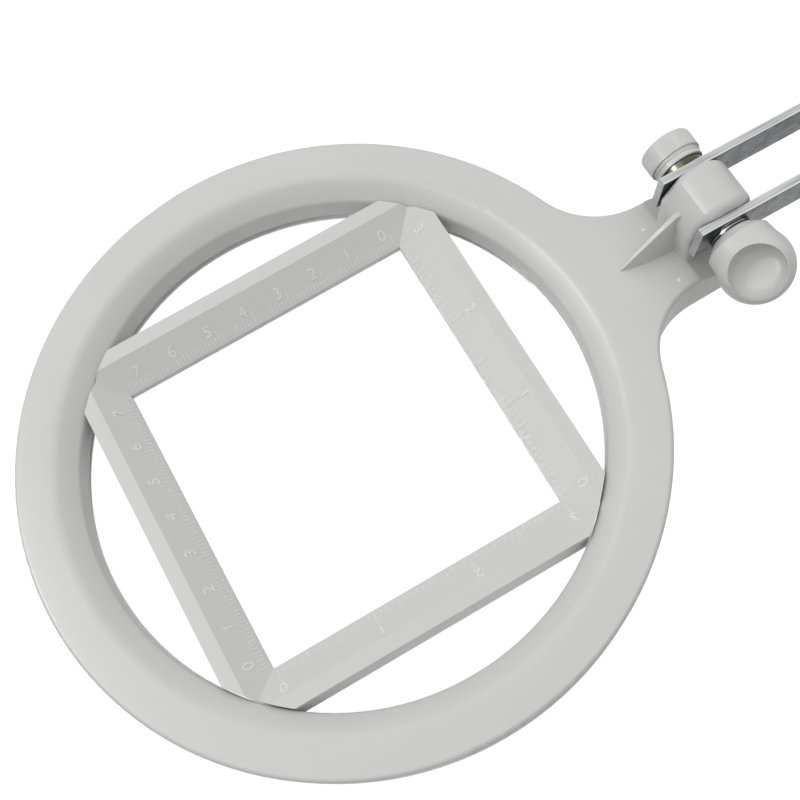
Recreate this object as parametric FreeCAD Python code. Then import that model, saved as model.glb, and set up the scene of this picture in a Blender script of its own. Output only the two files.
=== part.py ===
import FreeCAD
import Part
import math
import os
from FreeCAD import Vector

# Driving dimensions of the stand, in millimetres. The stand rests on the XY plane,
# its head reaches out along -X, and every hinge turns about an axis along Y.
upper_arm_length = 215.0
upper_arm_rise = 4.2
lower_arm_length = 190.0
shoulder_height = 52.0
pivot_reach = 101.5
pivot_rise = 11.3

# Working gaps
turn_gap = 0.1
pin_gap = 0.06
face_gap = 0.05
press_gap = 0.02
slip_gap = 0.2
overrun = 5.0
swing_gap = 5.0

# Lens ring, with heights measured down from its flat top face
ring_radius = 78.0
ring_face_width = 10.0
ring_depth = 10.6
ring_edge_round = 1.2
ring_wall = 2.4
bore_radius = 63.0
bore_chamfer_depth = 3.9
brow_round = 4.0
bore_edge_round = 1.5
lens_seat_depth = 12.0
seat_wall = 2.5
rib_count = 12
rib_thickness = 1.6
rib_setback = 1.2

# Neck between the ring and the head hinge
neck_half_width = 12.5
neck_root_round = 20.0
neck_depth = 14.5
neck_tail = 9.0
neck_corner_round = 2.0
neck_relief_radius = 14.0
neck_rib_thickness = 2.0

# Hinge hub standing on the neck
hub_half_width = 6.6
hub_front_reach = 9.1
hub_top_radius = 8.3
hub_crease_angle = 127.0
hub_front_crown = 0.35
hub_crease_round = 0.8
hub_side_round = 2.2

# Gusset between the neck and the front of the hub
gusset_length = 13.9
gusset_height = 13.9
gusset_foot_half = 2.3
gusset_foot_crown = 0.7
gusset_ridge_half = 0.55
gusset_ridge_crown = 0.12
gusset_tip_half = 0.35
gusset_bury = 1.5

# Lens and the ring that holds it in
lens_radius = 65.0
lens_edge = 2.2
lens_curve_radius = 200.0
retainer_width = 1.3
retainer_depth = 1.8
retainer_slope = 0.6

# Square scale frame that drops into the ring
window_half = 38.5
bevel_run = 7.5
strip_run = 3.7
frame_draft = 0.4
frame_top_depth = 2.3
frame_bevel_drop = 6.0
frame_lip = 2.1
frame_wall = 2.0
frame_turn = -0.65
frame_shift_x = -0.65
frame_shift_y = -0.15

# Flat steel arms
bar_thickness = 2.0
bar_height = 10.8
bar_overhang = 8.5
bar_edge_round = 0.35

# Hinge bolts, nuts and washers
bolt_radius = 2.5
bolt_head_flats = 8.0
bolt_head_height = 3.5
nut_flats = 8.0
nut_height = 4.0
brass_washer_radius = 5.3
brass_washer_thickness = 1.6
spring_washer_radius = 5.2
spring_washer_thickness = 1.4
spring_washer_slot = 0.9
spring_washer_slot_angle = 25.0
friction_washer_radius = 8.0
friction_washer_thickness = 0.5
spacer_radius = 6.5

# Thumb knob: a collar that flares into a round paddle, sliced to a wedge and dished
lead_radius = 5.3
lead_length = 2.3
lead_end_radius = 7.9
waist_radius = 8.35
paddle_radius = 9.0
paddle_centre = 9.0
slice_start = 6.5
slice_tip_half = 1.4
slice_edge_round = 1.2
dish_centre = 11.8
dish_half_width = 6.6
dish_half_length = 5.6
dish_floor_half = 1.3
dish_round = 3.0
thumb_bore_depth = 5.6
head_thumb_turn = 28.0
elbow_thumb_turn = -35.0
shoulder_thumb_turn = 80.0

# Knurled knob: a plain grip band standing on a slightly smaller collar
grip_collar_radius = 5.9
grip_collar_length = 2.2
grip_radius = 6.5
grip_length = 5.0
grip_round = 0.8

# Turret that carries the shoulder hinge and swivels on the base
turret_flange_radius = 23.0
turret_flange_thickness = 4.4
turret_flange_round = 1.2
turret_barrel_radius = 9.0
turret_foot_half = 13.0
turret_pin_depth = 9.0

# Swivel pin, bush, washer and lock nut under the turret
swivel_pin_radius = 4.0
swivel_tail = 1.5
bush_wall = 1.2
bush_flange_radius = 20.0
bush_flange_thickness = 1.5
swivel_washer_radius = 10.0
swivel_washer_thickness = 1.6
swivel_nut_flats = 13.0
swivel_nut_height = 6.5

# Base: moulded cover, iron weight, steel bottom plate, screws and one round rubber pad
base_radius = 88.0
base_skirt_lift = 1.8
base_skirt_height = 10.0
base_cover_wall = 2.5
base_boss_radius = 25.0
base_boss_step = 2.0
base_crown = 5.0
boss_tube_wall = 5.0
boss_tube_length = 11.0
pad_clearance = 4.8
pad_height = 3.0
plate_thickness = 1.5
plate_inset = 0.4
weight_clearance = 3.4
weight_height = 10.5
weight_step_width = 16.0
weight_step_height = 5.0
weight_hole_radius = 14.0
weight_edge = 1.0
post_radius = 3.6
post_inset = 9.0
post_count = 3
screw_radius = 1.6
screw_length = 7.0
screw_head_radius = 3.2
screw_head_height = 1.5

# Places that follow from the sizes above
bar_inner = hub_half_width + turn_gap
bar_outer = bar_inner + bar_thickness
lower_bar_inner = bar_outer + 2 * face_gap + friction_washer_thickness
lower_bar_outer = lower_bar_inner + bar_thickness
turret_half_width = lower_bar_inner - turn_gap
hole_radius = bolt_radius + pin_gap
flange_top = shoulder_height - math.hypot(bar_overhang, bar_height / 2) - swing_gap
flange_bottom = flange_top - turret_flange_thickness
boss_top = flange_bottom - turn_gap - bush_flange_thickness
boss_bottom = boss_top - boss_tube_length
plate_bottom = pad_height
plate_top = plate_bottom + plate_thickness
cover_bottom = plate_bottom - base_skirt_lift
post_angles = [(i + 0.5) * 360 / post_count for i in range(post_count)]
post_circle = base_radius - post_inset
pad_radius = post_circle - screw_head_radius - pad_clearance
weight_radius = post_circle - post_radius - weight_clearance
weight_step_radius = weight_radius - weight_step_width

X = Vector(1, 0, 0)
Y = Vector(0, 1, 0)
Z = Vector(0, 0, 1)
shoulder = Vector(0, 0, shoulder_height)
elbow = shoulder + Z * lower_arm_length
arm_slope = math.radians(upper_arm_rise)
head_pivot = elbow + Vector(-math.cos(arm_slope), 0, math.sin(arm_slope)) * upper_arm_length
ring_centre = head_pivot - X * pivot_reach - Z * pivot_rise


def polygon(points):
    return Part.makePolygon(points + points[:1])


def arc(start, middle, end):
    return Part.Arc(start, middle, end).toShape()


def line(start, end):
    return Part.LineSegment(start, end).toShape()


def turned(outline):
    """Solid of revolution about Z from (radius, height) corners."""
    face = Part.Face(polygon([Vector(r, 0, z) for r, z in outline]))
    return face.revolve(Vector(), Z, 360)


def disc(radius, bottom, top):
    return Part.makeCylinder(radius, top - bottom, Z * bottom)


def tube(radius, hole, bottom, top):
    return disc(radius, bottom, top).cut(disc(hole, bottom - overrun, top + overrun))


def block(x_min, x_max, half_width, bottom, top):
    size = (x_max - x_min, 2 * half_width, top - bottom)
    return Part.makeBox(*size, Vector(x_min, -half_width, bottom))


def hexagon(flats, bottom, top):
    corner = flats / math.sqrt(3)
    angles = [math.radians(60 * i) for i in range(6)]
    corners = [Vector(corner * math.cos(a), corner * math.sin(a), bottom) for a in angles]
    return Part.Face(polygon(corners)).extrude(Z * (top - bottom))


def across(shape, pivot, side=1):
    """Lay a shape made along Z along the hinge axis, outwards on the given side."""
    laid = shape.copy()
    laid.rotate(Vector(), X, -90 * side)
    laid.translate(pivot)
    return laid


def ringed(shape, angle, radius=0.0):
    placed = shape.copy()
    placed.translate(X * radius)
    placed.rotate(Vector(), Z, angle)
    return placed


def polar(radius, angle):
    return Vector(radius * math.cos(angle), radius * math.sin(angle), 0)


def polar_up(radius, angle):
    return Vector(radius * math.cos(angle), 0, radius * math.sin(angle))


def mirrored(point):
    return Vector(point.x, -point.y, point.z)


def neck_plan(inner_radius, root_round, half_width, end):
    """Plan of the neck, from the ring out to its square end, with hollow flanks."""
    reach = ring_radius + neck_root_round
    centre_y = neck_half_width + neck_root_round
    centre_x = math.sqrt(reach ** 2 - centre_y ** 2)
    spread = (ring_radius ** 2 + reach ** 2 - root_round ** 2) / (2 * ring_radius * reach)
    root_angle = math.atan2(centre_y, centre_x) - math.acos(min(spread, 1))
    root = polar(ring_radius, root_angle)
    inner = polar(inner_radius, root_angle)
    tangent_x = min(centre_x, end)
    tangent_y = centre_y - math.sqrt(root_round ** 2 - (centre_x - tangent_x) ** 2)
    tangent = Vector(tangent_x, tangent_y, 0)
    centre = Vector(centre_x, centre_y, 0)
    towards = (root + tangent) * 0.5 - centre
    middle = centre + towards.normalize() * root_round
    corner = Vector(end, half_width, 0)
    edges = [arc(mirrored(inner), X * inner_radius, inner)]
    if inner_radius < ring_radius:
        edges.append(line(inner, root))
    edges.append(arc(root, middle, tangent))
    if end > centre_x:
        edges.append(line(tangent, corner))
    else:
        corner = tangent
    edges.append(line(corner, mirrored(corner)))
    if end > centre_x:
        edges.append(line(mirrored(corner), mirrored(tangent)))
    edges.append(arc(mirrored(tangent), mirrored(middle), mirrored(root)))
    if inner_radius < ring_radius:
        edges.append(line(mirrored(root), mirrored(inner)))
    return Part.Face(Part.Wire(edges))


def head_blank():
    """Ring disc and neck in one piece, with the upper outer edge rounded all round."""
    neck_end = pivot_reach + neck_tail
    neck = neck_plan(ring_radius - ring_wall, neck_root_round, neck_half_width, neck_end)
    blank = disc(ring_radius, -ring_depth, 0).fuse(neck.extrude(Z * -neck_depth))
    blank = blank.removeSplitter()
    corners = [e for e in blank.Edges
               if e.BoundBox.XMin > neck_end - face_gap and e.BoundBox.ZLength > ring_depth]
    blank = blank.makeFillet(neck_corner_round, corners)
    rim = [e for e in blank.Edges if e.BoundBox.ZMin > -face_gap]
    return blank.makeFillet(ring_edge_round, rim)


def neck_relief():
    """Round hollow either side of the hub, about the hinge, for the ends of the arms."""
    y_reach = neck_half_width + overrun
    roller = Part.makeCylinder(neck_relief_radius, 2 * y_reach, Y * -y_reach, Y)
    tail = block(0, neck_tail + overrun, y_reach, -neck_relief_radius, neck_relief_radius)
    relief = roller.fuse(tail)
    relief.translate(Vector(pivot_reach, 0, pivot_rise))
    return relief


def neck_pockets():
    """Hollows under the neck: one from the ring to a cross rib, one under the hub."""
    split = pivot_reach - hub_front_reach - neck_rib_thickness
    inner_half = neck_half_width - ring_wall
    root = neck_root_round + ring_wall
    front_pocket = neck_plan(ring_radius, root, inner_half, split).extrude(Z * -(neck_depth + overrun))
    front_pocket.translate(Z * -ring_wall)
    rear_top = pivot_rise - neck_relief_radius - ring_wall
    rear_end = pivot_reach + neck_tail - ring_wall
    rear_start = split + neck_rib_thickness
    rear_pocket = block(rear_start, rear_end, inner_half, -neck_depth - overrun, rear_top)
    return front_pocket.fuse(rear_pocket)


def head_hub():
    """Hub block with an upright front, a crease and a round top over the bolt."""
    crease = math.radians(hub_crease_angle)
    foot = -neck_relief_radius
    front_foot = Vector(-hub_front_reach, 0, foot)
    front_top = Vector(-hub_front_reach, 0, 0)
    crest = Vector(hub_top_radius * math.cos(crease), 0, hub_top_radius * math.sin(crease))
    outward = Vector(front_top.z - crest.z, 0, crest.x - front_top.x).normalize()
    front_middle = (front_top + crest) * 0.5 + outward * hub_front_crown
    back = Vector(hub_top_radius, 0, 0)
    back_foot = Vector(hub_top_radius, 0, foot)
    side = Part.Wire([
        line(front_foot, front_top),
        arc(front_top, front_middle, crest),
        arc(crest, polar_up(hub_top_radius, crease / 2), back),
        line(back, back_foot),
        line(back_foot, front_foot)])
    side.translate(Y * -hub_half_width)
    hub = Part.Face(side).extrude(Y * 2 * hub_half_width)
    fold = [e for e in hub.Edges if (e.CenterOfMass - crest).cross(Y).Length < face_gap]
    hub = hub.makeFillet(hub_crease_round, fold)
    rim = [e for e in hub.Edges
           if e.BoundBox.YLength < face_gap and e.BoundBox.ZMax > foot + face_gap]
    hub = hub.makeFillet(hub_side_round, rim)
    bolt_hole = Part.makeCylinder(hole_radius, 4 * hub_half_width, Y * -2 * hub_half_width, Y)
    return hub, bolt_hole


def gusset():
    """Thin sail from the neck up the front of the hub, with bulging drafted flanks."""
    back = pivot_reach - hub_front_reach + gusset_bury
    tip = pivot_reach - hub_front_reach - gusset_length

    def section(front, front_half, rear_half, crown, height):
        front_left = Vector(front, front_half, height)
        rear_left = Vector(back, rear_half, height)
        middle = (front_left + rear_left) * 0.5 + Y * crown
        front_right = mirrored(front_left)
        rear_right = mirrored(rear_left)
        return Part.Wire([
            arc(front_left, middle, rear_left),
            line(rear_left, rear_right),
            arc(rear_right, mirrored(middle), front_right),
            line(front_right, front_left)])

    foot = section(tip, gusset_tip_half, gusset_foot_half, gusset_foot_crown, 0)
    crest_front = back - gusset_bury
    crest = section(crest_front, gusset_ridge_half, gusset_ridge_half,
                    gusset_ridge_crown, gusset_height)
    return Part.makeLoft([foot, crest], True, True)


def head_frame():
    """One moulding: lens ring, ribbed channel under it, neck, gusset and hinge hub."""
    seat_radius = lens_radius + slip_gap
    channel_inner = seat_radius + seat_wall
    channel_outer = ring_radius - ring_wall
    collar_bottom = -(lens_seat_depth + lens_edge + retainer_depth + slip_gap)
    bore = turned([
        (0, overrun),
        (ring_radius - ring_face_width + overrun, overrun),
        (ring_radius - ring_face_width, 0),
        (bore_radius, -bore_chamfer_depth),
        (bore_radius, -lens_seat_depth),
        (seat_radius, -lens_seat_depth),
        (seat_radius, collar_bottom - overrun),
        (0, collar_bottom - overrun)])
    channel = tube(channel_outer, channel_inner, -ring_depth - overrun, -ring_wall)
    frame = head_blank().cut(bore)
    brow = [e for e in frame.Edges if abs(e.BoundBox.XMax - ring_radius + ring_face_width) < face_gap]
    frame = frame.makeFillet(brow_round, brow)
    lip = [e for e in frame.Edges if abs(e.BoundBox.XMax - bore_radius) < face_gap
           and abs(e.BoundBox.ZMin + bore_chamfer_depth) < face_gap]
    frame = frame.makeFillet(bore_edge_round, lip)
    frame = frame.cut(channel).fuse(tube(channel_inner, seat_radius, collar_bottom, -ring_wall))
    rib = block(channel_inner - ring_wall / 2, channel_outer + ring_wall / 2,
                rib_thickness / 2, rib_setback - ring_depth, -ring_wall / 2)
    ribs = [ringed(rib, (i + 0.5) * 360 / rib_count) for i in range(rib_count)]
    frame = frame.fuse(ribs).cut(neck_relief()).cut(neck_pockets())
    hub, bolt_hole = head_hub()
    at_hub = Vector(pivot_reach, 0, pivot_rise)
    hub.translate(at_hub)
    bolt_hole.translate(at_hub)
    frame = frame.fuse([hub, gusset()]).cut(bolt_hole)
    return frame.removeSplitter()


def lens():
    """Plano-convex lens: flat side up against its seat, curved side down."""
    top = -lens_seat_depth
    edge = top - lens_edge
    drop = lens_curve_radius - math.sqrt(lens_curve_radius ** 2 - lens_radius ** 2)
    half_angle = math.asin(lens_radius / lens_curve_radius) / 2
    curve_top = edge - drop + lens_curve_radius
    middle = Vector(lens_curve_radius * math.sin(half_angle), 0,
                    curve_top - lens_curve_radius * math.cos(half_angle))
    bottom = Vector(0, 0, edge - drop)
    section = Part.Wire([
        line(Z * top, Vector(lens_radius, 0, top)),
        line(Vector(lens_radius, 0, top), Vector(lens_radius, 0, edge)),
        arc(Vector(lens_radius, 0, edge), middle, bottom),
        line(bottom, Z * top)])
    return Part.Face(section).revolve(Vector(), Z, 360)


def lens_retainer():
    """Plain ring pressed into the seat under the edge of the lens."""
    outer = lens_radius + slip_gap - face_gap
    inner = outer - retainer_width
    top = -(lens_seat_depth + lens_edge + face_gap)
    bottom = -(lens_seat_depth + lens_edge + retainer_depth)
    return turned([(outer, top), (outer, bottom), (inner, bottom), (inner, top - retainer_slope)])


def square_ring(profile):
    """Closed profile of (half width, height) carried round a square, corners mitred."""
    faces = []
    for start, end in zip(profile, profile[1:] + profile[:1]):
        for turn in range(4):
            corners = []
            for (half, height), sign in ((start, -1), (start, 1), (end, 1), (end, -1)):
                corners.append(Vector(half, sign * half, height))
            face = Part.Face(polygon(corners))
            face.rotate(Vector(), Z, 90 * turn)
            faces.append(face)
    ring = Part.makeSolid(Part.makeShell(faces))
    if ring.Volume < 0:
        ring.reverse()
    return ring


def scale_frame():
    """Square mask with bevelled sides, hollow underneath, its corners cut to the bore."""
    ridge = window_half + bevel_run
    outer = ridge + strip_run
    top = -frame_top_depth
    lip_top = top - frame_bevel_drop
    lip_bottom = lip_top - frame_lip
    bottom = -(lens_seat_depth - face_gap)
    under_ridge = ridge + (frame_lip - frame_wall) * bevel_run / frame_bevel_drop
    mask = square_ring([
        (window_half, lip_bottom),
        (window_half, lip_top),
        (ridge, top),
        (outer, top),
        (outer + frame_draft, bottom),
        (outer + frame_draft - frame_wall, bottom),
        (outer - frame_wall, top - frame_wall),
        (under_ridge, top - frame_wall)])
    block_out = square_ring([
        (window_half, bottom),
        (window_half, lip_top),
        (ridge, top),
        (outer, top),
        (outer + frame_draft, bottom)])
    corner_radius = bore_radius - slip_gap
    corner_wall = set_askew(block_out).common(tube(corner_radius, corner_radius - frame_wall, bottom, top))
    mask = set_askew(mask).common(disc(corner_radius, bottom, top))
    return mask.fuse(corner_wall).removeSplitter()


def set_askew(shape):
    """The scale frame sits a little turned and off centre in the ring."""
    shape.rotate(Vector(), Z, frame_turn)
    shape.translate(Vector(frame_shift_x, frame_shift_y, 0))
    return shape


def bar(length):
    """Flat steel bar lying along X from its first pivot, with square ends, one hole each."""
    body = Part.makeBox(length + 2 * bar_overhang, bar_thickness, bar_height,
                        Vector(-bar_overhang, 0, -bar_height / 2))
    long_edges = [e for e in body.Edges if e.BoundBox.XLength > length]
    body = body.makeFillet(bar_edge_round, long_edges)
    for place in (0, length):
        hole = Part.makeCylinder(hole_radius, bar_thickness + 2 * overrun,
                                 Vector(place, -overrun, 0), Y)
        body = body.cut(hole)
    return body


def upper_bar(side):
    body = bar(upper_arm_length)
    body.rotate(Vector(), Y, upper_arm_rise)
    body.translate(head_pivot + Y * (bar_inner if side > 0 else -bar_outer))
    return body


def lower_bar(side):
    body = bar(lower_arm_length)
    body.rotate(Vector(), Y, -90)
    body.translate(shoulder + Y * (lower_bar_inner if side > 0 else -lower_bar_outer))
    return body


def elbow_spacer():
    spacer = tube(spacer_radius, hole_radius, -hub_half_width, hub_half_width)
    return across(spacer, elbow)


def elbow_friction_washers():
    bottom = bar_outer + face_gap
    washer = tube(friction_washer_radius, hole_radius, bottom, bottom + friction_washer_thickness)
    return Part.makeCompound([across(washer, elbow, side) for side in (1, -1)])


def grip_seat(stack):
    """Where the knurled knob's collar begins, out from the hinge plane."""
    return stack + face_gap + brass_washer_thickness + face_gap


def thumb_seat(stack):
    """Where the thumb knob's collar begins, out from the hinge plane."""
    return stack + face_gap + spring_washer_thickness + face_gap


def hinge_bolt(stack, pivot):
    """Hexagon-headed bolt, its head sunk in the knurled knob."""
    head_base = grip_seat(stack)
    tip = -(thumb_seat(stack) + thumb_bore_depth - face_gap)
    bolt = disc(bolt_radius, tip, head_base + press_gap)
    bolt = bolt.fuse(hexagon(bolt_head_flats, head_base, head_base + bolt_head_height))
    return across(bolt, pivot)


def hinge_nut():
    nut = hexagon(nut_flats, 0, nut_height)
    return nut.cut(disc(hole_radius, -overrun, nut_height + overrun))


def brass_washer(stack, pivot):
    bottom = stack + face_gap
    washer = tube(brass_washer_radius, hole_radius, bottom, bottom + brass_washer_thickness)
    return across(washer, pivot)


def spring_washer(stack, pivot):
    """Split lock washer, with its slanted slot."""
    bottom = stack + face_gap
    top = bottom + spring_washer_thickness
    washer = tube(spring_washer_radius, hole_radius, bottom, top)
    slot = block(0, spring_washer_radius + overrun, spring_washer_slot / 2,
                 bottom - overrun, top + overrun)
    slot.rotate(Vector(0, 0, bottom), X, spring_washer_slot_angle)
    return across(washer.cut(slot), pivot, -1)


def thumb_knob():
    """Collar flaring into a round paddle, both sides sliced to a wedge and dished."""
    tip = paddle_centre + paddle_radius
    waist = Vector(waist_radius, 0, paddle_centre - math.sqrt(paddle_radius ** 2 - waist_radius ** 2))
    section = Part.Wire([
        line(Vector(), X * lead_radius),
        line(X * lead_radius, Vector(lead_end_radius, 0, lead_length)),
        line(Vector(lead_end_radius, 0, lead_length), waist),
        arc(waist, Vector(paddle_radius, 0, paddle_centre), Z * tip),
        line(Z * tip, Vector())])
    knob = Part.Face(section).revolve(Vector(), Z, 360)
    reach = 2 * paddle_radius
    slice_off = Part.Face(polygon([
        Vector(-reach, paddle_radius, slice_start),
        Vector(-reach, slice_tip_half, tip),
        Vector(-reach, slice_tip_half, tip + overrun),
        Vector(-reach, reach, tip + overrun),
        Vector(-reach, reach, slice_start)])).extrude(X * 2 * reach)
    knob = knob.cut([slice_off, ringed(slice_off, 180)])
    rims = [e for e in knob.Edges
            if e.BoundBox.ZMax > paddle_centre and e.BoundBox.YMin * e.BoundBox.YMax > 0]
    knob = knob.makeFillet(slice_edge_round, rims)
    oval = Part.Ellipse(Vector(), dish_half_width, dish_half_length).toShape()
    dish = Part.Face(Part.Wire(oval)).extrude(Z * paddle_radius)
    dish = dish.makeFillet(dish_round, [e for e in dish.Edges if e.BoundBox.ZMax < face_gap])
    dish.translate(Z * dish_floor_half)
    for side in (1, -1):
        cutter = dish.copy()
        cutter.rotate(Vector(), X, -90 * side)
        cutter.translate(Z * dish_centre)
        knob = knob.cut(cutter)
    pocket = hexagon(nut_flats + 2 * face_gap, -overrun, nut_height + face_gap)
    return knob.cut(pocket).cut(disc(hole_radius, 0, thumb_bore_depth))


def knurled_knob():
    """Round knob: a collar and a grip band with a rounded outer rim."""
    knob_end = grip_collar_length + grip_length
    band = disc(grip_radius, grip_collar_length, knob_end)
    band = band.makeFillet(grip_round, [e for e in band.Edges if e.BoundBox.ZMin > knob_end - face_gap])
    knob = band.fuse(disc(grip_collar_radius, 0, grip_collar_length))
    return knob.cut(hexagon(bolt_head_flats + 2 * face_gap, -overrun, bolt_head_height + face_gap))


def seated(knob, seat, pivot, side, turn=0.0):
    """A knob or nut made from its seat outwards, turned and set at its place on a hinge."""
    placed = knob.copy()
    placed.rotate(Vector(), Z, turn)
    placed.translate(Z * seat)
    return across(placed, pivot, side)


def shoulder_hub():
    """Turret: round flange and an upright hub with a round top, bored for bolt and pin."""
    flange = disc(turret_flange_radius, flange_bottom, flange_top)
    flange = flange.makeFillet(turret_flange_round, [e for e in flange.Edges
                                                     if e.BoundBox.ZMin > flange_top - face_gap])
    left = shoulder - X * turret_barrel_radius
    right = shoulder + X * turret_barrel_radius
    crown = shoulder + Z * turret_barrel_radius
    right_foot = Vector(turret_foot_half, 0, flange_bottom + turret_flange_round)
    left_foot = Vector(-turret_foot_half, 0, flange_bottom + turret_flange_round)
    side = Part.Wire([
        line(left_foot, left),
        arc(left, crown, right),
        line(right, right_foot),
        line(right_foot, left_foot)])
    side.translate(Y * -turret_half_width)
    hub = Part.Face(side).extrude(Y * 2 * turret_half_width)
    turret = flange.fuse(hub)
    bolt_hole = across(disc(hole_radius, -2 * turret_half_width, 2 * turret_half_width), shoulder)
    pin_hole = disc(swivel_pin_radius + press_gap, flange_bottom - overrun,
                    flange_bottom + turret_pin_depth + press_gap)
    return turret.cut(bolt_hole).cut(pin_hole).removeSplitter()


def swivel_nut_span():
    top = boss_bottom - turn_gap - swivel_washer_thickness - face_gap
    return top - swivel_nut_height, top


def swivel_pin():
    nut_bottom = swivel_nut_span()[0]
    return disc(swivel_pin_radius, nut_bottom - swivel_tail, flange_bottom + turret_pin_depth)


def swivel_bush():
    """Flanged bush pressed into the boss: the turret slides on its flange."""
    sleeve_radius = swivel_pin_radius + pin_gap + bush_wall
    flange_face = boss_top + bush_flange_thickness
    return turned([
        (swivel_pin_radius + pin_gap, boss_bottom),
        (sleeve_radius, boss_bottom),
        (sleeve_radius, boss_top),
        (bush_flange_radius, boss_top),
        (bush_flange_radius, flange_face),
        (swivel_pin_radius + pin_gap, flange_face)])


def swivel_washer():
    top = boss_bottom - turn_gap
    return tube(swivel_washer_radius, swivel_pin_radius + press_gap,
                top - swivel_washer_thickness, top)


def swivel_nut():
    bottom, top = swivel_nut_span()
    nut = hexagon(swivel_nut_flats, bottom, top)
    return nut.cut(disc(swivel_pin_radius + press_gap, bottom - overrun, top + overrun))


def dome(radius, skirt_top, shoulder_radius, shoulder_top, bottom):
    """Solid bounded by an upright skirt and a shallow dome that ends at a flat top."""
    edge = Vector(radius, 0, skirt_top)
    shoulder_point = Vector(shoulder_radius, 0, shoulder_top)
    outward = Vector(shoulder_top - skirt_top, 0, radius - shoulder_radius).normalize()
    middle = (edge + shoulder_point) * 0.5 + outward * base_crown
    section = Part.Wire([
        line(Z * bottom, Vector(radius, 0, bottom)),
        line(Vector(radius, 0, bottom), edge),
        arc(edge, middle, shoulder_point),
        line(shoulder_point, Z * shoulder_top),
        line(Z * shoulder_top, Z * bottom)])
    return Part.Face(section).revolve(Vector(), Z, 360)


def base_cover():
    """Moulded dome with a raised boss, a bush tube and screw posts inside."""
    shoulder_top = boss_top - base_boss_step
    outside = dome(base_radius, base_skirt_height, base_boss_radius, shoulder_top, cover_bottom)
    shell = outside.fuse(disc(base_boss_radius - base_boss_step, shoulder_top - face_gap, boss_top))
    hollow = dome(base_radius - base_cover_wall, base_skirt_height - base_cover_wall / 2,
                  base_boss_radius, shoulder_top - base_cover_wall, cover_bottom - overrun)
    tube_radius = swivel_pin_radius + pin_gap + bush_wall + boss_tube_wall
    post = disc(post_radius, plate_top, boss_top)
    hollow = hollow.cut(disc(tube_radius, boss_bottom, boss_top))
    hollow = hollow.cut([ringed(post, angle, post_circle) for angle in post_angles])
    shell = shell.cut(hollow)
    pilot = disc(screw_radius + press_gap, plate_top - overrun, plate_bottom + screw_length)
    shell = shell.cut([ringed(pilot, angle, post_circle) for angle in post_angles])
    sleeve_hole = disc(swivel_pin_radius + pin_gap + bush_wall + press_gap,
                       boss_bottom - overrun, boss_top + overrun)
    return shell.cut(sleeve_hole).removeSplitter()


def base_weight():
    """Stepped cast-iron disc on the bottom plate, open in the middle for the lock nut."""
    bottom = plate_top
    step = bottom + weight_height
    top = step + weight_step_height
    return turned([
        (weight_hole_radius, bottom),
        (weight_radius, bottom),
        (weight_radius, step - weight_edge),
        (weight_radius - weight_edge, step),
        (weight_step_radius, step),
        (weight_step_radius, top - weight_edge),
        (weight_step_radius - weight_edge, top),
        (weight_hole_radius, top)])


def base_plate():
    plate = disc(base_radius - base_cover_wall - plate_inset, plate_bottom, plate_top)
    hole = disc(screw_radius + slip_gap, plate_bottom - overrun, plate_top + overrun)
    for angle in post_angles:
        plate = plate.cut(ringed(hole, angle, post_circle))
    return plate


def base_screws():
    head = disc(screw_head_radius, plate_bottom - screw_head_height, plate_bottom)
    shank = disc(screw_radius, plate_bottom - face_gap, plate_bottom + screw_length - face_gap)
    screw = head.fuse(shank)
    return Part.makeCompound([ringed(screw, angle, post_circle) for angle in post_angles])


def base_pad():
    """Round foam-rubber pad stuck under the bottom plate: the stand rests on it."""
    return disc(pad_radius, 0, pad_height)


def at_head(shape):
    shape.translate(ring_centre)
    return shape


nodes = {
    "head_frame": at_head(head_frame()),
    "lens": at_head(lens()),
    "lens_retainer": at_head(lens_retainer()),
    "scale_frame": at_head(scale_frame()),
    "upper_bar_left": upper_bar(1),
    "upper_bar_right": upper_bar(-1),
    "lower_bar_left": lower_bar(1),
    "lower_bar_right": lower_bar(-1),
    "elbow_spacer": elbow_spacer(),
    "elbow_friction_washers": elbow_friction_washers(),
    "shoulder_hub": shoulder_hub(),
    "swivel_pin": swivel_pin(),
    "swivel_bush": swivel_bush(),
    "swivel_washer": swivel_washer(),
    "swivel_nut": swivel_nut(),
    "base_cover": base_cover(),
    "base_weight": base_weight(),
    "base_plate": base_plate(),
    "base_screws": base_screws(),
    "base_pad": base_pad(),
}

hinges = (("head", bar_outer, head_pivot, head_thumb_turn),
          ("elbow", lower_bar_outer, elbow, elbow_thumb_turn),
          ("shoulder", lower_bar_outer, shoulder, shoulder_thumb_turn))
nut = hinge_nut()
thumb = thumb_knob()
grip = knurled_knob()
for hinge, stack, pivot, turn in hinges:
    nodes[hinge + "_bolt"] = hinge_bolt(stack, pivot)
    nodes[hinge + "_nut"] = seated(nut, thumb_seat(stack), pivot, -1, turn)
    nodes[hinge + "_brass_washer"] = brass_washer(stack, pivot)
    nodes[hinge + "_spring_washer"] = spring_washer(stack, pivot)
    nodes[hinge + "_thumb_knob"] = seated(thumb, thumb_seat(stack), pivot, -1, turn)
    nodes[hinge + "_knurled_knob"] = seated(grip, grip_seat(stack), pivot, 1)

os.makedirs("parts", exist_ok=True)
for name, shape in nodes.items():
    shape.exportStep(os.path.join("parts", name + ".step"))
    print(name, len(shape.Solids), round(shape.Volume, 1), shape.isValid())
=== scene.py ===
import bpy
import bmesh
import math
from mathutils import Euler, Matrix, Vector


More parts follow.
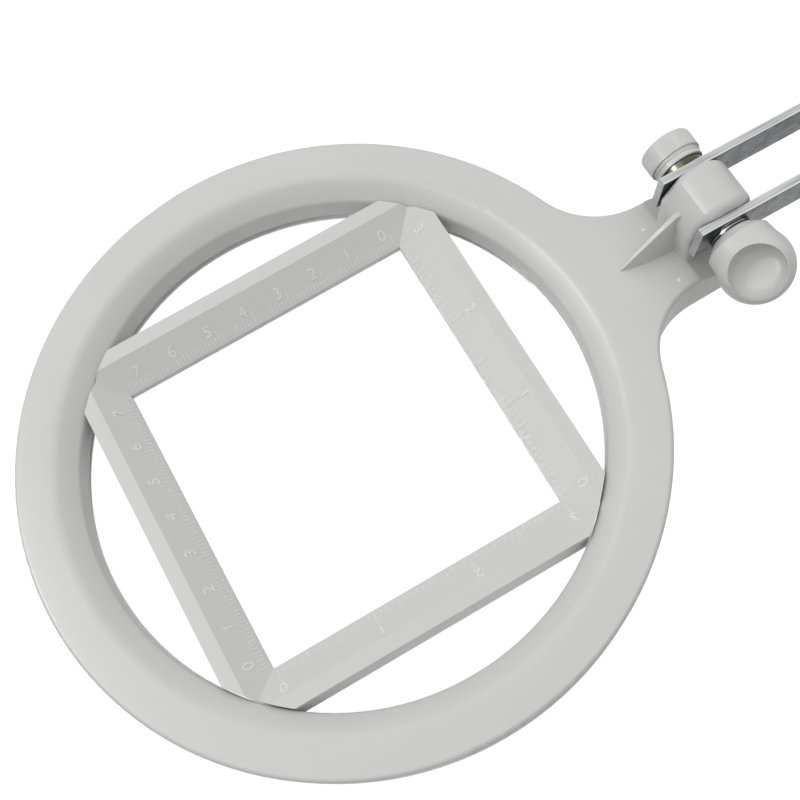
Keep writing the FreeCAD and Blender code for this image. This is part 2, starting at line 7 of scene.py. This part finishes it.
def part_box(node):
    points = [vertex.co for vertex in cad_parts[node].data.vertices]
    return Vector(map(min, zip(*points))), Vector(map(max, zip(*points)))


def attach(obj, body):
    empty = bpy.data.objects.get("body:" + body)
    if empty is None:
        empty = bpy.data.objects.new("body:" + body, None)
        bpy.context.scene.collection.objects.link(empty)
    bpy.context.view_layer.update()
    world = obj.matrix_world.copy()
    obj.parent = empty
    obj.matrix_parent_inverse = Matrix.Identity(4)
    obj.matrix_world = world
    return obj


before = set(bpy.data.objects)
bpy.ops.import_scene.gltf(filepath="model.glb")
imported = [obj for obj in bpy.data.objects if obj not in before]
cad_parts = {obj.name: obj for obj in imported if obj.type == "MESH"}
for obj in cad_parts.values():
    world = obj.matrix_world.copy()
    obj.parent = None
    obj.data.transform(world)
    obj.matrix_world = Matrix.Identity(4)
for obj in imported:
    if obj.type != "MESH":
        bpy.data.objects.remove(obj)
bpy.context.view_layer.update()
MM = 0.001

# Base pad. One round pad of black foam rubber glued under the bottom plate, so that
# the stand doesn't slip. It is matt and a little dusty.
rubber_grain = 0.05 * MM
grain_low = 0.3
grain_high = 0.7
grain_strength = 0.5
weld_gap = 0.001 * MM


def fresh_material(name):
    """A new material, its node tree and the Principled shader in it."""
    material = bpy.data.materials.new(name)
    material.use_nodes = True
    tree = material.node_tree
    return material, tree, tree.nodes["Principled BSDF"]


def add(tree, kind, **sockets):
    """A node of the given kind, with some of its inputs set."""
    node = tree.nodes.new(kind)
    for name, value in sockets.items():
        node.inputs[name.replace("_", " ")].default_value = value
    return node


def blend(tree, factor, low, high):
    """Mix of two colours, each a constant or the output of a node."""
    node = tree.nodes.new("ShaderNodeMix")
    node.data_type = "RGBA"
    tree.links.new(factor, node.inputs["Factor"])
    for socket, value in (("A", low), ("B", high)):
        if isinstance(value, tuple):
            node.inputs[socket].default_value = (*value, 1)
        else:
            tree.links.new(value, node.inputs[socket])
    return node.outputs["Result"]


def mottle_group():
    """Cloudy variation and fine grain in the piece's own coordinates."""
    group = bpy.data.node_groups.new("cloud_and_grain", "ShaderNodeTree")
    for name in ("Cloud Scale", "Grain Scale"):
        group.interface.new_socket(name=name, in_out="INPUT", socket_type="NodeSocketFloat")
    for name in ("Cloud", "Grain"):
        group.interface.new_socket(name=name, in_out="OUTPUT", socket_type="NodeSocketFloat")
    inside = add(group, "NodeGroupInput")
    outside = add(group, "NodeGroupOutput")
    place = add(group, "ShaderNodeTexCoord")
    cloud = add(group, "ShaderNodeTexNoise", Detail=3.0, Roughness=0.5)
    grain = add(group, "ShaderNodeTexNoise", Detail=2.0, Roughness=0.6)
    link = group.links.new
    link(place.outputs["Object"], cloud.inputs["Vector"])
    link(place.outputs["Object"], grain.inputs["Vector"])
    link(inside.outputs["Cloud Scale"], cloud.inputs["Scale"])
    link(inside.outputs["Grain Scale"], grain.inputs["Scale"])
    link(cloud.outputs["Fac"], outside.inputs["Cloud"])
    link(grain.outputs["Fac"], outside.inputs["Grain"])
    return group


cloud_and_grain = mottle_group()


def surface(name, dark, light, rough, grain_depth, cloud_scale, grain_scale,
            metallic=0.0, specular=0.5):
    """A finish between two tones by the cloud, rough and bumpy by the grain."""
    material, tree, shader = fresh_material(name)
    mottle = add(tree, "ShaderNodeGroup")
    mottle.node_tree = cloud_and_grain
    mottle.inputs["Cloud Scale"].default_value = cloud_scale
    mottle.inputs["Grain Scale"].default_value = grain_scale
    polish = add(tree, "ShaderNodeMapRange", From_Min=grain_low, From_Max=grain_high,
                 To_Min=rough[0], To_Max=rough[1])
    bump = add(tree, "ShaderNodeBump", Strength=grain_strength, Distance=grain_depth)
    link = tree.links.new
    link(blend(tree, mottle.outputs["Cloud"], dark, light), shader.inputs["Base Color"])
    link(mottle.outputs["Grain"], polish.inputs["Value"])
    link(polish.outputs["Result"], shader.inputs["Roughness"])
    link(mottle.outputs["Grain"], bump.inputs["Height"])
    link(bump.outputs["Normal"], shader.inputs["Normal"])
    shader.inputs["Metallic"].default_value = metallic
    shader.inputs["Specular IOR Level"].default_value = specular
    return material


def dress(node, material, smooth_angle=30.0):
    """Give a solid its material and smooth shading that stops at real edges."""
    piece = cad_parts[node]
    piece.data.materials.clear()
    piece.data.materials.append(material)
    piece.data.shade_smooth()
    weld = piece.modifiers.new("weld", "WELD")
    weld.merge_threshold = weld_gap
    corners = piece.modifiers.new("corners", "EDGE_SPLIT")
    corners.split_angle = math.radians(smooth_angle)


pad_rubber = surface("pad_rubber", dark=(0.018, 0.018, 0.018), light=(0.05, 0.05, 0.048),
                     rough=(0.75, 0.95), grain_depth=rubber_grain, cloud_scale=120, grain_scale=1500)
dress("base_pad", pad_rubber)

# Bottom plate and weight. The plate is black painted sheet steel, held by three
# screws. The weight is a rough grey-black iron casting that lies on it.
paint_grain = 0.01 * MM
casting_grain = 0.25 * MM
plate_paint = surface("plate_paint", dark=(0.02, 0.02, 0.022), light=(0.035, 0.035, 0.037),
                      rough=(0.4, 0.55), grain_depth=paint_grain, cloud_scale=60, grain_scale=2500)
dress("base_plate", plate_paint)
cast_iron = surface("cast_iron", dark=(0.03, 0.03, 0.032), light=(0.08, 0.078, 0.075),
                    rough=(0.6, 0.9), grain_depth=casting_grain, cloud_scale=90, grain_scale=700,
                    metallic=0.5)
dress("base_weight", cast_iron)

# Screws, swivel pin, washer and nut. Bright zinc-plated steel, turned or pressed,
# slightly cloudy from the plating. The hinge bolts and their nuts have it too.
plating_grain = 0.005 * MM
zinc_plate = surface("zinc_plate", dark=(0.42, 0.43, 0.45), light=(0.6, 0.6, 0.6),
                     rough=(0.25, 0.42), grain_depth=plating_grain, cloud_scale=300, grain_scale=3000,
                     metallic=1.0)
for node in ("base_screws", "swivel_pin", "swivel_washer", "swivel_nut"):
    dress(node, zinc_plate)

# Nylon swivel bush, elbow spacer and friction washers. Natural nylon, off-white and
# slightly waxy, moulded or punched.
nylon_grain = 0.01 * MM
natural_nylon = surface("natural_nylon", dark=(0.60, 0.59, 0.54), light=(0.68, 0.67, 0.62),
                        rough=(0.35, 0.5), grain_depth=nylon_grain, cloud_scale=80, grain_scale=2000)
for node in ("swivel_bush", "elbow_spacer", "elbow_friction_washers"):
    dress(node, natural_nylon)

# Base cover and turret. Both are light grey ABS mouldings with a fine satin grain
# from the mould. The cover hides the weight, the turret turns on top of it.
mould_grain = 0.004 * MM
moulding_rough = (0.33, 0.45)


def moulded_abs(name, dark, light, rough):
    """Satin ABS with the fine grain of the mould."""
    return surface(name, dark, light, rough, grain_depth=mould_grain, cloud_scale=25,
                   grain_scale=2600, specular=0.3)


grey_abs = moulded_abs("grey_abs", dark=(0.585, 0.585, 0.58), light=(0.625, 0.625, 0.62),
                       rough=moulding_rough)
for node in ("base_cover", "shoulder_hub"):
    dress(node, grey_abs)

# Arms. Four flat bars cut from cold-rolled steel strip. The wide faces are painted shade,
# dark and cloudy, the narrow faces painted light, pale with rolling lines, and the corners a painted
# highlight.
upper_arm_slope = 4.2
lower_arm_slope = -90
streak_length = 25
streak_scale = 2200.0
patch_scale = 380.0
streak_depth = 0.01 * MM
# Tones of painted light: painted shade on the wide faces, painted light on the narrow faces, a painted
# highlight on the rounded corners.
wide_shade_dark = (0.07, 0.075, 0.085)
wide_shade_light = (0.20, 0.205, 0.22)
narrow_lit_dark = (0.22, 0.225, 0.235)
narrow_lit_light = (0.80, 0.80, 0.80)
painted_corner_highlight = (0.78, 0.78, 0.78)
steel_rough = 0.38


def ramp(tree, value, stops):
    """Colour ramp in greys over a value, from (place, level) stops."""
    node = tree.nodes.new("ShaderNodeValToRGB")
    while len(node.color_ramp.elements) < len(stops):
        node.color_ramp.elements.new(0.5)
    for element, (place, level) in zip(node.color_ramp.elements, stops):
        element.position = place
        element.color = (level, level, level, 1)
    tree.links.new(value, node.inputs["Fac"])
    return node.outputs["Color"]


def rolled_strip_group():
    """Painted shade on the wide faces, painted light on the narrow faces, a painted highlight on the
    corners, and streaks along the bar.
    """
    group = bpy.data.node_groups.new("streaks_and_painted_light", "ShaderNodeTree")
    group.interface.new_socket(name="Turn", in_out="INPUT", socket_type="NodeSocketFloat")
    group.interface.new_socket(name="Colour", in_out="OUTPUT", socket_type="NodeSocketColor")
    group.interface.new_socket(name="Streaks", in_out="OUTPUT", socket_type="NodeSocketFloat")
    inside = add(group, "NodeGroupInput")
    outside = add(group, "NodeGroupOutput")
    place = add(group, "ShaderNodeTexCoord")
    turned = add(group, "ShaderNodeCombineXYZ")
    along = add(group, "ShaderNodeMapping", Scale=(streak_length, 1, 1))
    along.vector_type = "TEXTURE"
    streaks = add(group, "ShaderNodeTexNoise", Scale=streak_scale, Detail=2.0, Roughness=0.6)
    clouds = add(group, "ShaderNodeTexNoise", Scale=patch_scale, Detail=5.0, Roughness=0.7)
    looks = add(group, "ShaderNodeSeparateXYZ")
    across = add(group, "ShaderNodeMath")
    across.operation = "ABSOLUTE"
    link = group.links.new
    link(inside.outputs["Turn"], turned.inputs["Y"])
    link(turned.outputs["Vector"], along.inputs["Rotation"])
    link(place.outputs["Object"], along.inputs["Vector"])
    link(along.outputs["Vector"], streaks.inputs["Vector"])
    link(place.outputs["Object"], clouds.inputs["Vector"])
    link(place.outputs["Normal"], looks.inputs["Vector"])
    link(looks.outputs["Y"], across.inputs[0])
    # Masks for the painted shade of the wide faces and the painted highlight of the corners, chosen by
    # the way each face turns.
    wide_face = ramp(group, across.outputs["Value"], ((0.55, 0), (0.9, 1)))
    corner = ramp(group, across.outputs["Value"], ((0.04, 0), (0.25, 1), (0.7, 1), (0.97, 0)))
    patches = ramp(group, clouds.outputs["Fac"], ((0.35, 0), (0.65, 1)))
    wide = blend(group, patches, wide_shade_dark, wide_shade_light)
    narrow = blend(group, streaks.outputs["Fac"], narrow_lit_dark, narrow_lit_light)
    faces = blend(group, wide_face, narrow, wide)
    link(blend(group, corner, faces, painted_corner_highlight), outside.inputs["Colour"])
    link(streaks.outputs["Fac"], outside.inputs["Streaks"])
    return group


streaks_and_painted_light = rolled_strip_group()


def arm_steel(name, slope):
    """Rolled steel whose streaks follow a bar that rises by the given degrees."""
    material, tree, shader = fresh_material(name)
    strip = add(tree, "ShaderNodeGroup")
    strip.node_tree = streaks_and_painted_light
    strip.inputs["Turn"].default_value = math.radians(slope)
    bump = add(tree, "ShaderNodeBump", Strength=0.4, Distance=streak_depth)
    tree.links.new(strip.outputs["Colour"], shader.inputs["Base Color"])
    tree.links.new(strip.outputs["Streaks"], bump.inputs["Height"])
    tree.links.new(bump.outputs["Normal"], shader.inputs["Normal"])
    shader.inputs["Metallic"].default_value = 1.0
    shader.inputs["Roughness"].default_value = steel_rough
    return material


upper_arm_steel = arm_steel("upper_arm_steel", upper_arm_slope)
lower_arm_steel = arm_steel("lower_arm_steel", lower_arm_slope)
for side in ("left", "right"):
    dress("upper_bar_" + side, upper_arm_steel)
    dress("lower_bar_" + side, lower_arm_steel)

# Head frame. One light grey ABS moulding: lens ring, neck, gusset and hub. Its skin
# has the same fine satin grain as the other mouldings, and two small pips on the neck.
seat_depth = 12.0 * MM
pip_radius = 0.55 * MM
pip_height = 0.22 * MM
pip_reach = 89.3 * MM
pip_skew = 0.1 * MM
near_pip_aside = 9.6 * MM
far_pip_aside = 5.8 * MM
pip_places = (Vector((pip_reach - pip_skew, -near_pip_aside, 0)),
              Vector((pip_reach + pip_skew, far_pip_aside, 0)))
dress("head_frame", grey_abs, smooth_angle=52.0)
raised_abs = moulded_abs("raised_abs", dark=(0.75, 0.75, 0.745), light=(0.79, 0.79, 0.785),
                         rough=moulding_rough)
lens_low, lens_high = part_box("lens")
ring_centre = Vector(((lens_low.x + lens_high.x) / 2, 0, lens_high.z + seat_depth))


def show(name, mesh):
    """A new object for a finished mesh, in the scene."""
    data = bpy.data.meshes.new(name)
    mesh.to_mesh(data)
    mesh.free()
    piece = bpy.data.objects.new(name, data)
    bpy.context.scene.collection.objects.link(piece)
    return piece


pip_domes = bmesh.new()
flatten = Matrix.Diagonal((pip_radius, pip_radius, pip_height, 1))
for place in pip_places:
    bmesh.ops.create_uvsphere(pip_domes, u_segments=16, v_segments=8, radius=1,
                              matrix=Matrix.Translation(ring_centre + place) @ flatten)
neck_pips = show("neck_pips", pip_domes)
neck_pips.data.materials.append(raised_abs)
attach(neck_pips, "head")

# Lens. A plano-convex lens of clear polished glass, dropped into its seat from below
# and held by a plain ring. It carries a trace of dust.
glass_index = 1.45
dust_scale = 60.0
dust_rough = 0.02
lens_glass, lens_tree, lens_shader = fresh_material("lens_glass")
lens_shader.inputs["Transmission Weight"].default_value = 1.0
lens_shader.inputs["Metallic"].default_value = 0.0
lens_shader.inputs["IOR"].default_value = glass_index
dust = add(lens_tree, "ShaderNodeTexNoise", Scale=dust_scale, Detail=6.0)
haze = add(lens_tree, "ShaderNodeMapRange", From_Min=0.55, From_Max=0.8, To_Min=0.0, To_Max=dust_rough)
tint = blend(lens_tree, dust.outputs["Fac"], (1.0, 1.0, 1.0), (0.985, 0.99, 0.99))
rays = add(lens_tree, "ShaderNodeLightPath")
shadowless = add(lens_tree, "ShaderNodeMath")
shadowless.operation = "SUBTRACT"
shadowless.inputs[0].default_value = 1.0
lens_tree.links.new(dust.outputs["Fac"], haze.inputs["Value"])
lens_tree.links.new(haze.outputs["Result"], lens_shader.inputs["Roughness"])
lens_tree.links.new(tint, lens_shader.inputs["Base Color"])
lens_tree.links.new(rays.outputs["Is Shadow Ray"], shadowless.inputs[1])
lens_tree.links.new(shadowless.outputs["Value"], lens_shader.inputs["Alpha"])
dress("lens", lens_glass)
dress("lens_retainer", grey_abs)

# Scale frame. A separate grey moulding that drops into the ring over the lens. Two
# sides carry centimetres, two carry inches, as fine raised marks and figures.
window_half = 38.5 * MM
bevel_run = 7.5 * MM
bevel_drop = 6.0 * MM
frame_top = 2.3 * MM
frame_turn = math.radians(-0.65)
frame_shift = Vector((-0.65, -0.15, 0)) * MM
scale_start = 37.6 * MM
centimetre = 10 * MM
inch = 25.4 * MM
inch_mark = 3.3 * MM
half_inch_mark = 2.5 * MM
quarter_inch_mark = 2.0 * MM
centimetre_mark = 2.5 * MM
half_centimetre_mark = 1.9 * MM
short_mark = 1.25 * MM
mark_gap = 0.7 * MM
mark_width = 0.26 * MM
mark_height = 0.14 * MM
mark_bury = 0.03 * MM
figure_height = 3.0 * MM
figure_height_share = 0.7
stroke_thinning_share = 0.012
x_axis = Vector((1, 0, 0))
y_axis = Vector((0, 1, 0))
z_axis = Vector((0, 0, 1))
centimetre_scale = {"unit": centimetre, "last": 7.5, "parts": 10,
                    "marks": {10: centimetre_mark, 5: half_centimetre_mark, 1: short_mark}}
inch_scale = {"unit": inch, "last": 3.0, "parts": 16,
              "marks": {16: inch_mark, 8: half_inch_mark, 4: quarter_inch_mark, 1: short_mark}}
sides = (
    {"outward": y_axis, "along": -x_axis, "scale": centimetre_scale,
     "figure_aside": 1.9 * MM, "figure_rise": 3.6 * MM},
    {"outward": -x_axis, "along": y_axis, "scale": centimetre_scale,
     "figure_aside": 1.9 * MM, "figure_rise": 4.1 * MM},
    {"outward": x_axis, "along": y_axis, "scale": inch_scale,
     "figure_aside": -0.6 * MM, "figure_rise": 5.8 * MM},
    {"outward": -y_axis, "along": x_axis, "scale": inch_scale,
     "figure_aside": -0.1 * MM, "figure_rise": 5.5 * MM},
)
scale_abs = moulded_abs("scale_abs", dark=(0.595, 0.595, 0.59), light=(0.63, 0.63, 0.625),
                        rough=(0.4, 0.52))
dress("scale_frame", scale_abs)
slope_share = math.hypot(1, bevel_drop / bevel_run)


def bevel_axes(side):
    """Origin, way up the slope and outward normal of one bevelled side."""
    up = (side["outward"] * bevel_run + z_axis * bevel_drop).normalized()
    normal = (z_axis * bevel_run - side["outward"] * bevel_drop).normalized()
    origin = side["outward"] * window_half - z_axis * (frame_top + bevel_drop)
    return origin, up, normal


def close_faces(mesh, bottom, top):
    """The faces of a low block between two loops of four corners."""
    mesh.faces.new(bottom)
    mesh.faces.new(top)
    for corner in range(4):
        after = (corner + 1) % 4
        mesh.faces.new((bottom[corner], bottom[after], top[after], top[corner]))


def raise_mark(mesh, side, step):
    """One graduation, as a low bar with sloping flanks."""
    origin, up, normal = bevel_axes(side)
    scale = side["scale"]
    length = max(size for every, size in scale["marks"].items() if step % every == 0)
    place = side["along"] * (step * scale["unit"] / scale["parts"] - scale_start)
    foot = origin + place + up * mark_gap * slope_share
    head = foot + up * length * slope_share
    half = side["along"] * mark_width / 2
    crest_half = side["along"] * mark_width / 4
    crest_in = up * mark_width / 4
    sink = normal * -mark_bury
    lift = normal * mark_height
    outline = (foot - half, foot + half, head + half, head - half)
    crest = (foot - crest_half + crest_in, foot + crest_half + crest_in,
             head + crest_half - crest_in, head - crest_half - crest_in)
    bottom = [mesh.verts.new(point + sink) for point in outline]
    top = [mesh.verts.new(point + lift) for point in crest]
    close_faces(mesh, bottom, top)


def raise_figure(side, number):
    """One figure of a scale, as text that stands on the slope."""
    origin, up, normal = bevel_axes(side)
    text = bpy.data.curves.new("figure", "FONT")
    text.body = str(number)
    text.align_x = "CENTER"
    text.align_y = "CENTER"
    text.size = figure_height / figure_height_share
    text.offset = -stroke_thinning_share * text.size
    text.extrude = mark_height - mark_bury
    text.bevel_depth = mark_bury
    figure = bpy.data.objects.new("figure", text)
    bpy.context.scene.collection.objects.link(figure)
    reach = number * side["scale"]["unit"] - scale_start + side["figure_aside"]
    spot = origin + side["along"] * reach + up * side["figure_rise"] * slope_share
    reading = side["outward"].cross(z_axis)
    axes = Matrix((reading, up, normal)).transposed().to_4x4()
    figure.matrix_world = Matrix.Translation(spot) @ axes
    return figure


mark_bars = bmesh.new()
for side in sides:
    for step in range(round(side["scale"]["last"] * side["scale"]["parts"]) + 1):
        raise_mark(mark_bars, side, step)
bmesh.ops.recalc_face_normals(mark_bars, faces=mark_bars.faces)
scale_marks = show("scale_marks", mark_bars)

figures = [raise_figure(side, number) for side in sides
           for number in range(int(side["scale"]["last"]) + 1)]
bpy.context.view_layer.update()
bpy.ops.object.select_all(action="DESELECT")
for figure in figures:
    figure.select_set(True)
bpy.context.view_layer.objects.active = figures[0]
bpy.ops.object.convert(target="MESH")
bpy.ops.object.join()
scale_figures = bpy.context.view_layer.objects.active
scale_figures.name = "scale_figures"
insert_place = Matrix.Translation(ring_centre + frame_shift) @ Matrix.Rotation(frame_turn, 4, "Z")
for piece in (scale_marks, scale_figures):
    piece.data.transform(insert_place @ piece.matrix_world)
    piece.matrix_world = Matrix.Identity(4)
    piece.data.materials.clear()
    piece.data.materials.append(raised_abs)
    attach(piece, "scale_insert")

# Hinge clamps at the head, the elbow and the shoulder. Each has a steel bolt in a
# ribbed grey knob, a brass washer, a spring washer, and a nut in a dished thumb knob.
brass_grain = 0.004 * MM
# Tones for the spring washer's bands of painted shadow and painted highlight.
painted_gap_shade = 0.02
painted_band_highlight = 0.22
painted_end_light = 0.18
spring_rough = 0.3
rib_count = 84
rib_half = 0.18 * MM
rib_height = 0.06 * MM
rib_bury = 0.1 * MM
rib_taper = 0.35 * MM
band_length = 5.0 * MM
band_edge = 0.25 * MM
band_round = 0.85 * MM
bead_drop = 0.8 * MM
bead_radius = 0.22 * MM
bead_turns = 64
bead_rounds = 8
collar_radius = 5.9 * MM
# The brass tones are far darker than brass. This is painted shade for the washer in its gap between
# bar and knob, and for the dark room that its metal reflected.
washer_brass = surface("washer_brass", dark=(0.06, 0.061, 0.04), light=(0.14, 0.142, 0.095),
                       rough=(0.2, 0.34), grain_depth=brass_grain, cloud_scale=500, grain_scale=2500,
                       metallic=1.0)
# The spring washer's colour is painted light: dark bands of painted shadow across it, with a band of
# painted highlight between them.
spring_steel, spring_tree, spring_shader = fresh_material("spring_steel")
spring_place = add(spring_tree, "ShaderNodeTexCoord")
spring_across = add(spring_tree, "ShaderNodeSeparateXYZ")
spring_tree.links.new(spring_place.outputs["Generated"], spring_across.inputs["Vector"])
painted_coil_light = ramp(spring_tree, spring_across.outputs["Y"],
                    ((0.0, painted_gap_shade), (0.2, painted_gap_shade), (0.3, painted_band_highlight), (0.5, painted_band_highlight),
                     (0.6, painted_gap_shade), (0.78, painted_gap_shade), (0.85, painted_end_light)))
spring_tree.links.new(painted_coil_light, spring_shader.inputs["Base Color"])
spring_shader.inputs["Metallic"].default_value = 1.0
spring_shader.inputs["Roughness"].default_value = spring_rough


def around(index, count):
    """Way out from the bolt to one of the places spaced evenly round a knob."""
    angle = index * 2 * math.pi / count
    return Vector((math.cos(angle), 0, math.sin(angle)))


def add_rib(mesh, axis_point, out, radius, near, far):
    """One rib of the grip band, a low ridge that tapers at both ends."""
    aside = Vector((-out.z, 0, out.x)) * rib_half
    foot = axis_point + out * (radius - rib_bury)
    crest = axis_point + out * (radius + rib_height)
    near_point = y_axis * near
    far_point = y_axis * far
    taper = y_axis * rib_taper
    base = [mesh.verts.new(foot + point) for point in
            (near_point - aside, near_point + aside, far_point + aside, far_point - aside)]
    ridge = [mesh.verts.new(crest + near_point + taper), mesh.verts.new(crest + far_point - taper)]
    mesh.faces.new(base)
    mesh.faces.new((base[0], ridge[0], base[1]))
    mesh.faces.new((base[2], ridge[1], base[3]))
    mesh.faces.new((base[1], ridge[0], ridge[1], base[2]))
    mesh.faces.new((base[3], ridge[1], ridge[0], base[0]))


def add_bead(mesh, bead_centre):
    """The round bead that runs about the collar under the grip band."""
    loops = []
    for turn in range(bead_turns):
        out = around(turn, bead_turns)
        loop = []
        for step in range(bead_rounds):
            roll = step * 2 * math.pi / bead_rounds
            reach = collar_radius + bead_radius * math.cos(roll)
            rise = bead_radius * math.sin(roll)
            loop.append(mesh.verts.new(bead_centre + out * reach + y_axis * rise))
        loops.append(loop)
    for turn, loop in enumerate(loops):
        following = loops[(turn + 1) % bead_turns]
        for step in range(bead_rounds):
            after = (step + 1) % bead_rounds
            mesh.faces.new((loop[step], loop[after], following[after], following[step]))


def grip_ribs(hinge):
    """Fine ribs along the grip band and the bead on the collar, as one mesh."""
    low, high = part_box(hinge + "_knurled_knob")
    centre = (low + high) / 2
    axis_point = Vector((centre.x, 0, centre.z))
    radius = (high.x - low.x) / 2
    mesh = bmesh.new()
    for index in range(rib_count):
        add_rib(mesh, axis_point, around(index, rib_count), radius,
                high.y - band_length + band_edge, high.y - band_round)
    add_bead(mesh, axis_point + y_axis * (high.y - band_length - bead_drop))
    bmesh.ops.recalc_face_normals(mesh, faces=mesh.faces)
    ribs = show(hinge + "_grip_ribs", mesh)
    ribs.data.materials.append(grey_abs)
    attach(ribs, hinge + "_clamp_bolt")


for hinge in ("head", "elbow", "shoulder"):
    dress(hinge + "_bolt", zinc_plate)
    dress(hinge + "_nut", zinc_plate)
    dress(hinge + "_brass_washer", washer_brass)
    dress(hinge + "_spring_washer", spring_steel)
    dress(hinge + "_thumb_knob", grey_abs)
    dress(hinge + "_knurled_knob", grey_abs)
    grip_ribs(hinge)

# Floor. A plain pale sheet that the stand rests on, seen as white, which keeps the
# stand's soft shadow.
floor_half = 3.0
floor_grey = (0.3, 0.3, 0.3, 1)
floor_glow = 0.79
floor_rough = 0.9


def seen_directly(tree):
    """1 for camera, glossy and transmission rays, and 0 for the light on the pieces."""
    rays = add(tree, "ShaderNodeLightPath")
    seen = add(tree, "ShaderNodeMath")
    seen.operation = "MAXIMUM"
    seen_all = add(tree, "ShaderNodeMath")
    seen_all.operation = "MAXIMUM"
    tree.links.new(rays.outputs["Is Camera Ray"], seen.inputs[0])
    tree.links.new(rays.outputs["Is Glossy Ray"], seen.inputs[1])
    tree.links.new(seen.outputs["Value"], seen_all.inputs[0])
    tree.links.new(rays.outputs["Is Transmission Ray"], seen_all.inputs[1])
    return seen_all.outputs["Value"]


floor_sheet = bmesh.new()
floor_corners = [floor_sheet.verts.new((x, y, 0)) for x, y in
                 ((-floor_half, -floor_half), (floor_half, -floor_half),
                  (floor_half, floor_half), (-floor_half, floor_half))]
floor_sheet.faces.new(floor_corners)
floor = show("floor", floor_sheet)
floor_paper, floor_tree, floor_shader = fresh_material("floor_paper")
floor_shader.inputs["Base Color"].default_value = floor_grey
floor_shader.inputs["Roughness"].default_value = floor_rough
floor_shader.inputs["Specular IOR Level"].default_value = 0.0
floor_shader.inputs["Emission Strength"].default_value = floor_glow
floor_tree.links.new(seen_directly(floor_tree), floor_shader.inputs["Emission Color"])
floor.data.materials.append(floor_paper)

# Light. A pale room, brightest overhead and a little towards the knurled knobs, with
# one large soft lamp and a small one that shows only as gloss on the pieces. The
# backdrop is seen as white.
backdrop_white = 1.0
horizon_light = 0.12
zenith_light = 1.0
brighter_side = (0, 0.22, 0.975)
shade_start = -0.1
shade_end = 0.75
key_towards = Vector((-0.5, 0.55, 1.2)).normalized()
key_distance = 1.2
key_size = 0.8
key_power = 2.5
streak_towards = Vector((-0.75, 0.26, 0.61)).normalized()
streak_distance = 0.6
streak_size = 0.16
streak_power = 2.6
world = bpy.data.worlds.new("pale_room")
bpy.context.scene.world = world
world.use_nodes = True
world_tree = world.node_tree
room = world_tree.nodes["Background"]
room.inputs["Color"].default_value = (1, 1, 1, 1)
room_place = add(world_tree, "ShaderNodeTexCoord")
room_height = add(world_tree, "ShaderNodeVectorMath")
room_height.operation = "DOT_PRODUCT"
room_height.inputs[1].default_value = brighter_side
room_shade = add(world_tree, "ShaderNodeMapRange", From_Min=shade_start, From_Max=shade_end,
                 To_Min=horizon_light, To_Max=zenith_light)
room_level = add(world_tree, "ShaderNodeMapRange", To_Max=backdrop_white)
world_tree.links.new(room_place.outputs["Generated"], room_height.inputs[0])
world_tree.links.new(room_height.outputs["Value"], room_shade.inputs["Value"])
world_tree.links.new(room_shade.outputs["Result"], room_level.inputs["To Min"])
world_tree.links.new(seen_directly(world_tree), room_level.inputs["Value"])
world_tree.links.new(room_level.outputs["Result"], room.inputs["Strength"])


def soft_lamp(name, target, towards, distance, size, power):
    """A square lamp at a distance from a point, facing it."""
    data = bpy.data.lights.new(name, "AREA")
    data.shape = "SQUARE"
    data.size = size
    data.energy = power
    lamp = bpy.data.objects.new(name, data)
    bpy.context.scene.collection.objects.link(lamp)
    lamp.location = target + towards * distance
    lamp.rotation_euler = towards.to_track_quat("Z", "Y").to_euler()
    return lamp


soft_lamp("key_lamp", ring_centre, key_towards, key_distance, key_size, key_power)
bolt_low, bolt_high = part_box("head_bolt")
streak_lamp = soft_lamp("streak_lamp", (bolt_low + bolt_high) / 2, streak_towards,
                        streak_distance, streak_size, streak_power)
streak_lamp.visible_diffuse = False

# Camera. It looks down on the lens head from the thumb-knob side, as in the
# photograph, and is placed from the centre of the ring.
focal_length = 54
sensor_width = 36
nearest_seen = 0.01
camera_offset = Vector((-7.1, -89.2, 267.8)) * MM
camera_turns = (18.30, 5.08, -30.20)
camera_data = bpy.data.cameras.new("camera")
camera_data.lens = focal_length
camera_data.sensor_width = sensor_width
camera_data.clip_start = nearest_seen
camera = bpy.data.objects.new("camera", camera_data)
bpy.context.scene.collection.objects.link(camera)
camera.location = ring_centre + camera_offset
camera.rotation_euler = Euler([math.radians(angle) for angle in camera_turns], "XYZ")
bpy.context.scene.camera = camera
bpy.context.scene.view_settings.view_transform = "Standard"
